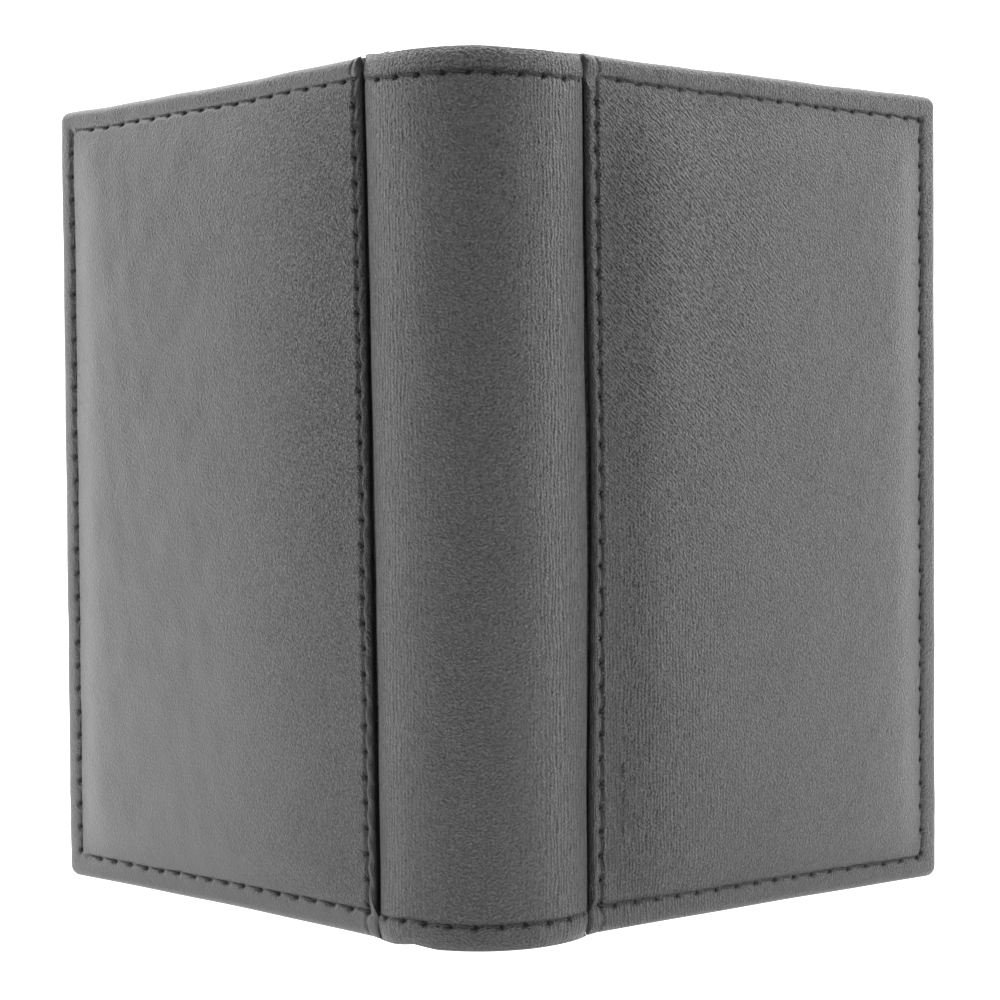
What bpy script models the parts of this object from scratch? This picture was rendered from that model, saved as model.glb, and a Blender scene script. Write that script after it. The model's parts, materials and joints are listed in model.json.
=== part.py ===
"""Bifold card holder with padded leather covers, standing half open on its lower edges.

Metres, +Z up. The spine strip faces -Y and bows towards it. Each cover hangs on a vertical fold line at one
edge of the spine, and carries three card slots on its inner side. The pieces of a cover are modelled lying
flat in the plane of its fold line, outer face to -Y, and an empty on the fold line turns them to the rest pose.
"""

import math

import bmesh
import bpy
from mathutils import Matrix, Vector

# The cards, and the room that they need
CARD_WIDTH = 0.0540
CARD_HEIGHT = 0.0856
CARD_ROOM = 0.0009
CARD_SIDE_CLEARANCE = 0.0002
CARD_SHOWING = 0.0155
CARD_HEAD_ROOM = 0.0047
LOWEST_CARD_FOOT = 0.0037

# The slots, from the one nearest the cover to the one nearest the hand
SLOT_NAMES = ("rear", "middle", "front")
SLOT_STEP = 0.008
SLOT_SEAM_WIDTH = 0.0010
SLOT_RAMP_WIDTH = 0.0008
SLOT_HEM_WIDTH = 0.0050
SLOT_HEM_RAMP = 0.0006
SLOT_HEM_THICKNESS = 0.0009

# The spine and the pose
FOLD_SPACING = 0.0272
SPINE_BOW = 0.0088
LEFT_FOLD_ANGLE = math.radians(42.0)
RIGHT_FOLD_ANGLE = math.radians(32.5)

# Layers
LEATHER_THICKNESS = 0.0006
BOARD_THICKNESS = 0.0007
LINING_THICKNESS = 0.0005
SLOT_LEATHER_THICKNESS = 0.0006
LAYER_GAP = 0.00025
FOLD_GAP = 0.00035
TURN_IN = 0.007
LINING_INSET = 0.0012
LINING_FOLD_SETBACK = 0.0013

# The grooves beside the spine: a cover's leather rolls over a lip there, and the spine dips towards it
ROLL_RADIUS = 0.0007
ROLL_SETBACK = 0.0011
SPINE_EDGE_THICKNESS = 0.0015
SPINE_EDGE_RUN = 0.0031

# Corners of the covers
FREE_CORNER_RADIUS = 0.0024
FOLD_CORNER_RADIUS = 0.0015
LEAST_CORNER_RADIUS = 0.00025

# Padding, whose edges are measured from the cover's edges
PAD_INSET = 0.0031
PAD_FOLD_INSET = 0.0041
PAD_CORNER_RADIUS = 0.0036
PAD_CROWN = 0.0023
PAD_CROWN_RUN = 0.023
PAD_CROWN_POWER = 4
FOAM_SETBACK = 0.0012

# Facets
CORNER_SEGMENTS = 4
EDGE_FACETS = 5
SPINE_FACETS = 18
SPINE_EDGE_FACETS = 3
CROWN_RINGS = 7
CROWN_RING_SPREAD = 1.8
RAMP_STEPS = 2

# A cover is as wide and as high as a card with the slots' seams round it
SLOT_SIDE = SLOT_SEAM_WIDTH + SLOT_RAMP_WIDTH
CARD_SPACE = CARD_WIDTH + 2 * CARD_SIDE_CLEARANCE
COVER_WIDTH = LINING_FOLD_SETBACK + SLOT_SIDE + CARD_SPACE + SLOT_SIDE + LINING_INSET
HIGHEST_CARD_FOOT = LOWEST_CARD_FOOT + SLOT_STEP * (len(SLOT_NAMES) - 1)
HEIGHT = HIGHEST_CARD_FOOT + CARD_HEIGHT + CARD_HEAD_ROOM

# The turned edge is as thick as two leathers, the board and the gaps between them
EDGE_RADIUS = (2 * LEATHER_THICKNESS + BOARD_THICKNESS + 2 * LAYER_GAP) / 2
BOARD_INSET = LEATHER_THICKNESS + LAYER_GAP
BOARD_FOLD_INSET = ROLL_SETBACK + BOARD_INSET + LAYER_GAP
LINING_FACE = EDGE_RADIUS + LAYER_GAP + LINING_THICKNESS

# The spine's mid surface is an arc through both fold lines
SPINE_RADIUS = ((FOLD_SPACING / 2) ** 2 + SPINE_BOW**2) / (2 * SPINE_BOW)
SPINE_HALF_ANGLE = math.asin(FOLD_SPACING / 2 / SPINE_RADIUS)
SPINE_CENTRE_Y = SPINE_RADIUS * math.cos(SPINE_HALF_ANGLE)

LEATHER = ("black_leather", (0.035, 0.034, 0.034), 0.48)
SLOT_LEATHER = ("slot_leather", (0.040, 0.038, 0.037), 0.52)
LINING = ("lining_cloth", (0.030, 0.029, 0.029), 0.90)
BOARD = ("grey_board", (0.30, 0.28, 0.26), 0.95)
FOAM = ("foam", (0.55, 0.55, 0.53), 0.98)


def clear_scene():
    for obj in list(bpy.data.objects):
        bpy.data.objects.remove(obj, do_unlink=True)


def make_material(name, colour, roughness):
    material = bpy.data.materials.get(name)
    if material is None:
        material = bpy.data.materials.new(name)
        material.use_nodes = True
        shader = material.node_tree.nodes["Principled BSDF"]
        shader.inputs["Base Color"].default_value = (*colour, 1.0)
        shader.inputs["Roughness"].default_value = roughness
        shader.inputs["Metallic"].default_value = 0.0
    return material


def add_object(name, mesh, finish, parent, collection):
    mesh.name = name
    obj = bpy.data.objects.new(name, mesh)
    mesh.materials.append(make_material(*finish))
    collection.objects.link(obj)
    obj.parent = parent
    mesh.shade_smooth()
    mesh.set_sharp_from_angle(angle=math.radians(40))
    return obj


def add_solidify(obj, thickness):
    """Thickens an open surface on the side away from its normals."""
    modifier = obj.modifiers.new("thickness", "SOLIDIFY")
    modifier.thickness = thickness
    modifier.offset = -1.0
    modifier.use_even_offset = True


def mesh_from(bm):
    mesh = bpy.data.meshes.new("piece")
    bm.to_mesh(mesh)
    bm.free()
    return mesh


def mirrored(mesh, side):
    """Pieces are made for the right cover, side 1. The left cover's are their mirror images."""
    if side < 0:
        mesh.transform(Matrix.Diagonal((-1.0, 1.0, 1.0, 1.0)))
        mesh.flip_normals()
    return mesh


def cover_ring(inset, out, fold_inset=None, corner=None):
    """Points round a cover, anticlockwise seen from outside: a rounded rectangle inset from the cover's edge.

    out is how far the ring lies outside the mid plane. The folded edge lies EDGE_RADIUS past the fold line.
    """
    fold_inset = inset if fold_inset is None else fold_inset
    left = fold_inset - EDGE_RADIUS
    right = COVER_WIDTH - inset
    radii = {
        False: corner or max(FOLD_CORNER_RADIUS - inset, LEAST_CORNER_RADIUS),
        True: corner or max(FREE_CORNER_RADIUS - inset, LEAST_CORNER_RADIUS),
    }
    points = []
    corners = ((True, False), (True, True), (False, True), (False, False))
    for quarter, (at_free_edge, at_top) in enumerate(corners):
        radius = radii[at_free_edge]
        centre_x = right - radius if at_free_edge else left + radius
        centre_z = HEIGHT - inset - radius if at_top else inset + radius
        for step in range(CORNER_SEGMENTS + 1):
            angle = math.radians(90.0) * (quarter - 1 + step / CORNER_SEGMENTS)
            x = centre_x + radius * math.cos(angle)
            z = centre_z + radius * math.sin(angle)
            points.append(Vector((x, -out, z)))
    return points


def turned_edge():
    """(inset, out) down a turned edge from the inner face to the outer one, flat along its outermost line."""
    points = []
    step = math.pi / EDGE_FACETS
    for facet in range(EDGE_FACETS + 1):
        angle = -math.pi / 2 + facet * step
        inset = EDGE_RADIUS * (1 - math.cos(angle) / math.cos(step / 2))
        points.append((inset, EDGE_RADIUS * math.sin(angle)))
    return points


def folded_edge(inset, out):
    """How far a cover's folded edge lies inset where its other edges lie at (inset, out).

    Inside the mid plane it is round about the fold line. Outside it, the leather rolls over a narrower radius
    further back, and so leaves a groove beside the spine.
    """
    if out < 0:
        return inset
    lift = max(out - EDGE_RADIUS + ROLL_RADIUS, 0.0) / ROLL_RADIUS
    return ROLL_SETBACK + ROLL_RADIUS * (1 - math.sqrt(max(1 - lift * lift, 0.0)))


def crown_height(depth):
    """How far the padding lifts the leather, at a depth inside the padding's edge."""
    share = min(max(depth / PAD_CROWN_RUN, 0.0), 1.0)
    return PAD_CROWN * (1 - (1 - share) ** PAD_CROWN_POWER)


def crown_depths(first):
    """Depths inside the padding's edge, closer together where the crown is steep."""
    span = PAD_CROWN_RUN - first
    shares = [(ring / CROWN_RINGS) ** CROWN_RING_SPREAD for ring in range(CROWN_RINGS + 1)]
    return [first + span * share for share in shares]


def pad_ring(depth, out):
    return cover_ring(PAD_INSET + depth, out, PAD_FOLD_INSET + depth, PAD_CORNER_RADIUS)


def loft(rings, closed_start=False):
    """A surface through rings of equal length. Its last ring is capped, and its first on request."""
    bm = bmesh.new()
    rows = [[bm.verts.new(point) for point in ring] for ring in rings]
    count = len(rows[0])
    for low, high in zip(rows, rows[1:]):
        for i in range(count):
            j = (i + 1) % count
            bm.faces.new((low[i], low[j], high[j], high[i]))
    bm.faces.new(rows[-1])
    if closed_start:
        bm.faces.new(reversed(rows[0]))
    return mesh_from(bm)


def make_cover_leather():
    """The turned-edge skin: a flange on the inner side, round the edge, and over the padding."""
    inner_radius = EDGE_RADIUS - LEATHER_THICKNESS
    outer = [cover_ring(TURN_IN, -EDGE_RADIUS)]
    inner = [cover_ring(TURN_IN, -inner_radius)]
    for inset, out in turned_edge():
        outer.append(cover_ring(inset, out, folded_edge(inset, out)))
        share = inner_radius / EDGE_RADIUS
        inset_inside = LEATHER_THICKNESS + inset * share
        inner.append(cover_ring(inset_inside, out * share, ROLL_SETBACK + inset_inside))
    for depth in crown_depths(0.0):
        outer.append(pad_ring(depth, EDGE_RADIUS + crown_height(depth)))
        inner.append(pad_ring(depth, inner_radius + crown_height(depth)))
    return loft([*reversed(inner), *outer], closed_start=True)


def make_foam():
    """The padding: flat where it lies on the board, crowned under the leather."""
    base = BOARD_THICKNESS / 2 + LAYER_GAP
    under_leather = EDGE_RADIUS - LEATHER_THICKNESS - LAYER_GAP
    rings = [pad_ring(FOAM_SETBACK, base)]
    rings += [
        pad_ring(depth, under_leather + crown_height(depth)) for depth in crown_depths(FOAM_SETBACK)
    ]
    return loft(rings, closed_start=True)


def make_plate(inset, fold_inset, low_out, high_out):
    """A flat sheet with the cover's outline, between two distances from the mid plane."""
    rings = [cover_ring(inset, low_out, fold_inset), cover_ring(inset, high_out, fold_inset)]
    return loft(rings, closed_start=True)


def ramp(value, start, end):
    """0 before start and 1 after end, smooth between."""
    share = min(max((value - start) / (end - start), 0.0), 1.0)
    return share * share * (3 - 2 * share)


def breaks(start, end):
    return [start + (end - start) * step / RAMP_STEPS for step in range(RAMP_STEPS + 1)]


class SlotPlan:
    """Where the card slots' seams, card feet and mouths lie on a cover."""

    def __init__(self):
        self.left = LINING_FOLD_SETBACK
        self.right = COVER_WIDTH - LINING_INSET
        self.bottom = LINING_INSET
        self.card_left = self.left + SLOT_SIDE
        self.card_right = self.right - SLOT_SIDE
        self.feet = [HIGHEST_CARD_FOOT - SLOT_STEP * slot for slot in range(len(SLOT_NAMES))]
        self.mouths = [foot + CARD_HEIGHT - CARD_SHOWING for foot in self.feet]

    def open_share(self, slot, x, z):
        """1 where a card lies in the slot, 0 along the seams round it."""
        across = ramp(x, self.left + SLOT_SEAM_WIDTH, self.card_left)
        across *= 1 - ramp(x, self.card_right, self.right - SLOT_SEAM_WIDTH)
        foot = self.feet[slot]
        return across * ramp(z, foot - SLOT_RAMP_WIDTH, foot)

    def back_depth(self, slot, x, z):
        """How deep inside the cover a slot sheet's back face lies, over the sheets behind it."""
        depth = LINING_FACE
        for behind in range(slot + 1):
            depth += LAYER_GAP + (CARD_ROOM - LAYER_GAP) * self.open_share(behind, x, z)
            if behind < slot:
                depth += SLOT_LEATHER_THICKNESS
        return depth

    def thickness(self, slot, z):
        """The leather's own, or the hem's along the mouth."""
        hem_foot = self.mouths[slot] - SLOT_HEM_WIDTH
        in_hem = ramp(z, hem_foot, hem_foot + SLOT_HEM_RAMP)
        return SLOT_LEATHER_THICKNESS + (SLOT_HEM_THICKNESS - SLOT_LEATHER_THICKNESS) * in_hem

    def columns(self):
        near = breaks(self.left + SLOT_SEAM_WIDTH, self.card_left)
        far = breaks(self.card_right, self.right - SLOT_SEAM_WIDTH)
        return [self.left, *near, *far, self.right]

    def rows(self, slot):
        levels = [self.bottom]
        for foot in sorted(self.feet[: slot + 1]):
            levels += breaks(foot - SLOT_RAMP_WIDTH, foot)
        hem_foot = self.mouths[slot] - SLOT_HEM_WIDTH
        return [*levels, hem_foot, hem_foot + SLOT_HEM_RAMP, self.mouths[slot]]


def make_slot_sheet(plan, slot):
    """A card slot's leather: sewn down along its sides and foot, open and hemmed along its top."""
    columns = plan.columns()
    rows = plan.rows(slot)
    bm = bmesh.new()
    grid = [[bm.verts.new((x, plan.back_depth(slot, x, z), z)) for x in columns] for z in rows]
    for low, high in zip(grid, grid[1:]):
        for i in range(len(columns) - 1):
            bm.faces.new((low[i], low[i + 1], high[i + 1], high[i]))
    front = bmesh.ops.extrude_face_region(bm, geom=list(bm.faces))
    for item in front["geom"]:
        if isinstance(item, bmesh.types.BMVert):
            item.co.y += plan.thickness(slot, item.co.z)
    bmesh.ops.recalc_face_normals(bm, faces=list(bm.faces))
    return mesh_from(bm)


def spine_point(angle, out, z):
    radius = SPINE_RADIUS + out
    return Vector((radius * math.sin(angle), SPINE_CENTRE_Y - radius * math.cos(angle), z))


def spine_angles(end_setback):
    """Angles across the spine, evenly spaced from one end to the other."""
    half = SPINE_HALF_ANGLE - (EDGE_RADIUS + FOLD_GAP + end_setback) / SPINE_RADIUS
    return [half * (2 * step / SPINE_FACETS - 1) for step in range(SPINE_FACETS + 1)]


def spine_edge_angles():
    """Angles across the spine's leather: even in the middle, and closer together where it dips to the grooves."""
    middle = spine_angles(SPINE_EDGE_RUN)
    run = SPINE_EDGE_RUN / SPINE_RADIUS
    shares = [(step / SPINE_EDGE_FACETS) ** 2 for step in range(SPINE_EDGE_FACETS)]
    end = [middle[-1] + run * (1 - share) for share in shares]
    return [*[-angle for angle in end], *middle, *reversed(end)]


def edge_share(angle):
    """The spine leather's thickness over the layers at an angle, as a share of its thickness in the middle."""
    to_end = (spine_angles(0.0)[-1] - abs(angle)) * SPINE_RADIUS
    rise = 1 - (1 - min(max(to_end / SPINE_EDGE_RUN, 0.0), 1.0)) ** 2
    least = SPINE_EDGE_THICKNESS / (2 * EDGE_RADIUS)
    return least + (1 - least) * rise


def spine_sheet(profile, angles, share=None):
    """An open surface bent along the spine. profile lists (z, out) across it, from the foot upwards.

    share gives the height over the inner face at an angle, as a share of the profile's own.
    """
    bm = bmesh.new()
    grid = []
    for z, out in profile:
        heights = [(out + EDGE_RADIUS) * (share(angle) if share else 1.0) for angle in angles]
        places = [spine_point(angle, up - EDGE_RADIUS, z) for angle, up in zip(angles, heights)]
        grid.append([bm.verts.new(place) for place in places])
    for low, high in zip(grid, grid[1:]):
        for i in range(len(angles) - 1):
            bm.faces.new((low[i], low[i + 1], high[i + 1], high[i]))
    return mesh_from(bm)


def make_spine_leather():
    """Turned in over the head and the foot, and dipping where the covers' folded edges lie."""
    foot = [(TURN_IN, -EDGE_RADIUS), *turned_edge()]
    head = [(HEIGHT - z, out) for z, out in reversed(foot)]
    return spine_sheet([*foot, *head], spine_edge_angles(), edge_share)


def make_spine_stiffener():
    out = BOARD_THICKNESS / 2
    profile = [(BOARD_INSET, out), (HEIGHT - BOARD_INSET, out)]
    return spine_sheet(profile, spine_angles(SPINE_EDGE_RUN))


def make_spine_lining():
    out = LINING_THICKNESS - LINING_FACE
    return spine_sheet([(LINING_INSET, out), (HEIGHT - LINING_INSET, out)], spine_angles(0.0))


def add_empty(name, location, angle, parent, collection):
    empty = bpy.data.objects.new(name, None)
    empty.empty_display_size = EDGE_RADIUS
    empty.location = location
    empty.rotation_euler.z = angle
    empty.parent = parent
    collection.objects.link(empty)
    return empty


def build_spine(holder, collection):
    pieces = (
        ("spine_leather", make_spine_leather(), LEATHER, LEATHER_THICKNESS),
        ("spine_stiffener", make_spine_stiffener(), BOARD, BOARD_THICKNESS),
        ("spine_lining", make_spine_lining(), LINING, LINING_THICKNESS),
    )
    for name, mesh, finish, thickness in pieces:
        add_solidify(add_object(name, mesh, finish, holder, collection), thickness)


def build_cover(name, side, fold, collection):
    """One cover, its pieces named for it and parented to the empty on its fold line."""
    board_out = BOARD_THICKNESS / 2
    lining_out = LINING_THICKNESS - LINING_FACE

    def add(piece, mesh, finish):
        return add_object(f"{name}_{piece}", mirrored(mesh, side), finish, fold, collection)

    add("cover_leather", make_cover_leather(), LEATHER)
    add("cover_foam", make_foam(), FOAM)
    board = make_plate(BOARD_INSET, BOARD_FOLD_INSET, -board_out, board_out)
    add("cover_board", board, BOARD)
    fold_inset = EDGE_RADIUS + LINING_FOLD_SETBACK
    lining = make_plate(LINING_INSET, fold_inset, -LINING_FACE, lining_out)
    add("cover_lining", lining, LINING)
    plan = SlotPlan()
    for slot, place in enumerate(SLOT_NAMES):
        add(f"slot_{place}", make_slot_sheet(plan, slot), SLOT_LEATHER)


def world_points(collection):
    """Every corner of every piece as it is shown, in world space."""
    bpy.context.view_layer.update()
    graph = bpy.context.evaluated_depsgraph_get()
    points = []
    for obj in collection.objects:
        if obj.type == "MESH":
            evaluated = obj.evaluated_get(graph)
            place = evaluated.matrix_world
            points += [place @ vertex.co for vertex in evaluated.data.vertices]
    return points


def centre_over_origin(holder, collection):
    """Moves the whole holder so that its box is centred on the origin. Its foot is at z = 0 already."""
    points = world_points(collection)
    for axis in (0, 1):
        values = [point[axis] for point in points]
        holder.location[axis] = -(min(values) + max(values)) / 2
    bpy.context.view_layer.update()


def main():
    clear_scene()
    collection = bpy.data.collections.new("bifold_card_holder")
    bpy.context.scene.collection.children.link(collection)
    holder = add_empty("holder", (0.0, 0.0, 0.0), 0.0, None, collection)
    build_spine(holder, collection)
    covers = (("left", -1, -LEFT_FOLD_ANGLE), ("right", 1, RIGHT_FOLD_ANGLE))
    for name, side, angle in covers:
        place = (side * FOLD_SPACING / 2, 0.0, 0.0)
        fold = add_empty(f"{name}_fold_line", place, angle, holder, collection)
        build_cover(name, side, fold, collection)
    centre_over_origin(holder, collection)


main()
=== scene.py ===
"""Dresses the bifold card holder in stitched black leather, at the photograph's camera and in soft studio light.

Lengths are metres. A cover's own coordinates are u, from its fold line to its free edge, z, and out, which is
positive on the outer side. The spine's are an angle round its axis, z and out.
"""

import json
import math
from functools import partial

import bpy
import numpy as np
from mathutils import Matrix, Vector


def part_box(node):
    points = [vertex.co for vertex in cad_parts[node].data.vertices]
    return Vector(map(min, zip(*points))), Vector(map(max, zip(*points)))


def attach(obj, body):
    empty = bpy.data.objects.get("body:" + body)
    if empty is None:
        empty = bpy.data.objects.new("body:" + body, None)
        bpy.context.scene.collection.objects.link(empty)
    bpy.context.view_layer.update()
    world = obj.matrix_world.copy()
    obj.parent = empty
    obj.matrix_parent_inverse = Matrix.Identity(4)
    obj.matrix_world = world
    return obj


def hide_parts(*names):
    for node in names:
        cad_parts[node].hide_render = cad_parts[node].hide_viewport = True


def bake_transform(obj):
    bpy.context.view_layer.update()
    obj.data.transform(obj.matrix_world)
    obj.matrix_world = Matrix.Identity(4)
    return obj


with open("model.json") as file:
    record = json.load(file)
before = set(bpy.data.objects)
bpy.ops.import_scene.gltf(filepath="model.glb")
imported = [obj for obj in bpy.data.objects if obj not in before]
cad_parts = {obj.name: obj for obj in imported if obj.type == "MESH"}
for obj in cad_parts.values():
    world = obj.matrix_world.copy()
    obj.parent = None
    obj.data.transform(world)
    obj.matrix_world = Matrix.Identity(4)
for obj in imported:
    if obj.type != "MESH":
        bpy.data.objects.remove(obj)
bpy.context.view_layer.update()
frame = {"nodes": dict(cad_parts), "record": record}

MM = 0.001

# Sizes that the frame gives
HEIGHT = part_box("spine_leather")[1].z
JOINTS = {joint["name"]: joint for joint in frame["record"]["behaviour"]["joints"]}

# Layers, as the solids have them
EDGE_RADIUS = 1.2 * MM
LEATHER = 0.6 * MM
LAYER_GAP = 0.25 * MM
LINING = 0.5 * MM
LINING_FACE = EDGE_RADIUS + LAYER_GAP + LINING
COVER_WIDTH = 60.5 * MM
TURN_IN = 7.0 * MM
LINING_INSET = 1.2 * MM
LINING_FOLD_SETBACK = 1.3 * MM
FREE_CORNER_RADIUS = 1.5 * MM

# Padding
PAD_INSET = 3.1 * MM
PAD_SHOULDER = 1.15 * MM
PAD_SHOULDER_RUN = 2.3 * MM
PAD_CROWN = 0.5 * MM
PAD_CROWN_RUN = 20.0 * MM
PAD_SOFT_START = 0.5 * MM
PAD_FREE_SHIFT = 1.0 * MM

# How steep the padding's shoulders are beside each edge, on the left cover and on the right
PAD_FOLD_SLOPE = {-1: 0.32, 1: 0.6}
PAD_FREE_SLOPE = {-1: 0.7, 1: 0.85}
PAD_FOOT_SLOPE = 0.6
PAD_HEAD_SLOPE = 0.42

# Spine
SPINE_BOW = 8.8 * MM
SPINE_EDGE_RUN = 3.1 * MM
SPINE_EDGE_THICKNESS = 1.6 * MM

# Card slots, as the solids have them
SLOT_NAMES = ("rear", "middle", "front")
SLOT_FEET = (19.7 * MM, 11.7 * MM, 3.7 * MM)
SLOT_MOUTHS = (89.8 * MM, 81.8 * MM, 73.8 * MM)
SLOT_SEAM = 1.0 * MM
SLOT_RAMP = 0.8 * MM
CARD_ROOM = 0.9 * MM
SLOT_LEATHER = 0.6 * MM
SLOT_HEM = 0.9 * MM
SLOT_HEM_WIDTH = 5.0 * MM
SLOT_HEM_RAMP = 0.6 * MM

# Relief of the turned-in edges, and of the leather gathered and folded over beside the folds
COVER_HEM_SWELL = 0.06 * MM
SPINE_HEM_SWELL = 0.05 * MM
SPINE_HEM_DROP = 0.35 * MM
PUCKER = 0.10 * MM
PUCKER_SPREAD = 1.0 * MM
EAR_SINK = 0.14 * MM
EAR_SPREAD = 0.16 * MM
# Stitch pits this deep are painted fully dark, as painted shade
PIT_SHADE_DEPTH = 0.3 * MM

# Thread, and the sunk line that it is sewn along
STITCH_PITCH = 3.33 * MM
SPINE_STITCH_PITCH = 2.977 * MM
STITCH_STRAY = 0.05 * MM
STITCH_START = 0.45 * MM
STITCH_END = 0.30 * MM
THREAD_RADIUS = 0.17 * MM
THREAD_SINK = 0.12 * MM
THREAD_SIDES = 8
THREAD_STEPS = 9
SEAM_SINK = 0.14 * MM
SEAM_SPREAD = 0.42 * MM

# Depth, length and width of what presses the leather in at a stitch: its end, its start and the thread between
STITCH_PITS = (
    (0.52 * MM, 0.40 * MM, 0.30 * MM), (0.18 * MM, 0.30 * MM, 0.20 * MM), (0.14 * MM, 1.2 * MM, 0.17 * MM),
)

rng = np.random.default_rng(7)


def smoothstep(value, start, end):
    share = np.clip((value - start) / (end - start), 0.0, 1.0)
    return share * share * (3 - 2 * share)


def bell(distance, spread):
    """1 at no distance, falling off smoothly on both sides."""
    return np.exp(-((distance / spread) ** 2))


def in_hem(z):
    """1 beyond the stitches at the head and foot, where the turned edges close the grooves, and 0 between them."""
    return 1 - smoothstep(np.minimum(z, HEIGHT - z), 2.5 * MM, 4.0 * MM)


def hem_swell(from_edge):
    """Where the turned-in leather fills out the edge, between the edge itself and the stitches."""
    return smoothstep(from_edge, 0.2 * MM, 1.6 * MM) * (1 - smoothstep(from_edge, 1.9 * MM, 3.0 * MM))


def spaced(*stretches):
    """Places along a line, from (start, end, step) stretches that follow each other."""
    parts = [np.linspace(start, end, round((end - start) / step), endpoint=False) for start, end, step in stretches]
    return np.concatenate([*parts, [stretches[-1][1]]]) * MM


def run_along(path):
    """Distance along a path to each of its points."""
    return np.concatenate([[0.0], np.cumsum(np.linalg.norm(np.diff(path, axis=0), axis=1))])


# Places in the holder

class Cover:
    """A cover's own coordinates in the frame. side is -1 on the left and 1 on the right."""

    def __init__(self, name, side):
        joint = JOINTS[f"{name}_cover_fold"]
        self.name = name
        self.side = side
        self.body = f"{name}_cover"
        self.axis = np.array(joint["pos_m"][:2])
        self.angle = math.radians(-joint["range_deg"][0])
        self.along = np.array([side * math.cos(self.angle), math.sin(self.angle)])
        self.outward = np.array([side * math.sin(self.angle), -math.cos(self.angle)])

    def place(self, u, out, z):
        u, out, z = np.broadcast_arrays(u, out, z)
        z = z + self.edge_shift(u, z)
        flat = self.axis + u[..., None] * self.along + out[..., None] * self.outward
        return np.concatenate([flat, z[..., None]], -1)

    def edge_shift(self, u, z):
        """How far the cut and turned edges stray from straight, up or down."""
        across = u / COVER_WIDTH
        middle = np.sin(math.pi * np.clip(across, 0.0, 1.0))
        ear = bell(u, 1.3 * MM)
        if self.side < 0:
            head = 0.15 - 0.45 * across - 0.27 * middle + 0.14 * ear
            foot = 0.15 * middle
        else:
            head = 0.26 - 0.08 * across + 0.12 * ear
            foot = 0.06 * middle
        head = head + 0.05 * np.sin(u / (4.1 * MM) + self.side) + 0.03 * np.sin(u / (1.7 * MM))
        foot = foot + 0.03 * (1 + np.sin(u / (3.7 * MM) - self.side)) * middle
        share = np.clip(z / HEIGHT, 0.0, 1.0)
        return (head * share + foot * (1 - share)) * MM

    def nose(self, z):
        """Where the outermost line of the rolled fold edge lies, in u. It wanders a little, as sewn edges do."""
        share = z / HEIGHT
        if self.side < 0:
            line = -1.10 + 1.66 * share - 0.14 * share**3
        else:
            line = -0.58 + 0.78 * bell(share - 0.5, 0.27)
        closing = in_hem(z) * np.where(share > 0.5, *((0.0, 0.72) if self.side < 0 else (0.5, 0.5)))
        return (line - closing) * MM

    def seam(self, z):
        """Where the stitched line along the fold edge lies, in u."""
        share = z / HEIGHT
        if self.side < 0:
            return (1.05 * share + 0.32 * share**3) * MM
        return (0.95 + 0.5 * bell(share - 0.5, 0.3)) * MM

    def pad_fold(self, z):
        """Where the padding starts beside the fold, in u."""
        if self.side < 0:
            return (1.3 + 1.6 * z / HEIGHT) * MM
        return 4.7 * MM + 0 * z


LEFT = Cover("left", -1)
RIGHT = Cover("right", 1)
COVERS = (LEFT, RIGHT)

FOLD_SPACING = RIGHT.axis[0] - LEFT.axis[0]
SPINE_RADIUS = ((FOLD_SPACING / 2) ** 2 + SPINE_BOW**2) / (2 * SPINE_BOW)
SPINE_HALF_ANGLE = math.asin(FOLD_SPACING / 2 / SPINE_RADIUS)
SPINE_CENTRE = np.array([
    (LEFT.axis[0] + RIGHT.axis[0]) / 2,
    LEFT.axis[1] + SPINE_RADIUS * math.cos(SPINE_HALF_ANGLE),
])


# Degrees round the spine, and how many millimetres its head and foot stray up there
SPINE_HEAD_STRAY = (
    (-62, -58, -52, -46, -18, 0, 18, 42, 52, 58, 62),
    (0.36, 0.22, -0.02, -0.15, -0.15, -0.13, -0.34, -0.28, -0.05, 0.16, 0.2),
)
SPINE_FOOT_STRAY = ((-62, -46, -40, -34, -22, 62), (0.0, 0.0, 0.18, 0.42, 0.06, 0.0))


def spine_shift(angle, z):
    """How far the spine's turned edges stray from straight, up or down."""
    head = np.interp(np.degrees(angle), *SPINE_HEAD_STRAY)
    foot = np.interp(np.degrees(angle), *SPINE_FOOT_STRAY)
    share = np.clip(z / HEIGHT, 0.0, 1.0)
    return (head * share**4 + foot * (1 - share) ** 4) * MM


def spine_place(angle, out, z):
    angle, out, z = np.broadcast_arrays(angle, out, z)
    z = z + spine_shift(angle, z)
    radius = SPINE_RADIUS + out
    x = SPINE_CENTRE[0] + radius * np.sin(angle)
    y = SPINE_CENTRE[1] - radius * np.cos(angle)
    return np.stack([x, y, z], -1)


def spine_end(side, z):
    """The angle at which the spine's leather ends beside a groove, which wanders as in the photograph."""
    share = z / HEIGHT
    if side < 0:
        closing = in_hem(z) * np.where(share > 0.5, 1.1, 2.4)
        return -np.radians(55.5 + 2.6 * share + 6.0 * share**2 + 1.3 * share**6 + closing)
    return np.radians(58.8 + 2.2 * bell(share - 0.44, 0.2) + 1.2 * in_hem(z))


# Mesh helpers

def grid_faces(rows, columns, start=0, flip=False):
    """Quads between neighbouring points of a grid numbered row by row."""
    index = start + np.arange(rows * columns).reshape(rows, columns)
    faces = np.stack([index[:-1, :-1], index[:-1, 1:], index[1:, 1:], index[1:, :-1]], -1).reshape(-1, 4)
    return faces[:, ::-1] if flip else faces


def strip_faces(low, high):
    """Quads between two closed loops of point numbers of equal length."""
    low = np.append(low, low[0])
    high = np.append(high, high[0])
    return np.stack([low[:-1], low[1:], high[1:], high[:-1]], -1)


def border(rows, columns):
    """Point numbers round a grid's border, in order."""
    index = np.arange(rows * columns).reshape(rows, columns)
    return np.concatenate([index[0, :-1], index[:-1, -1], index[-1, :0:-1], index[:0:-1, 0]])


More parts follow.
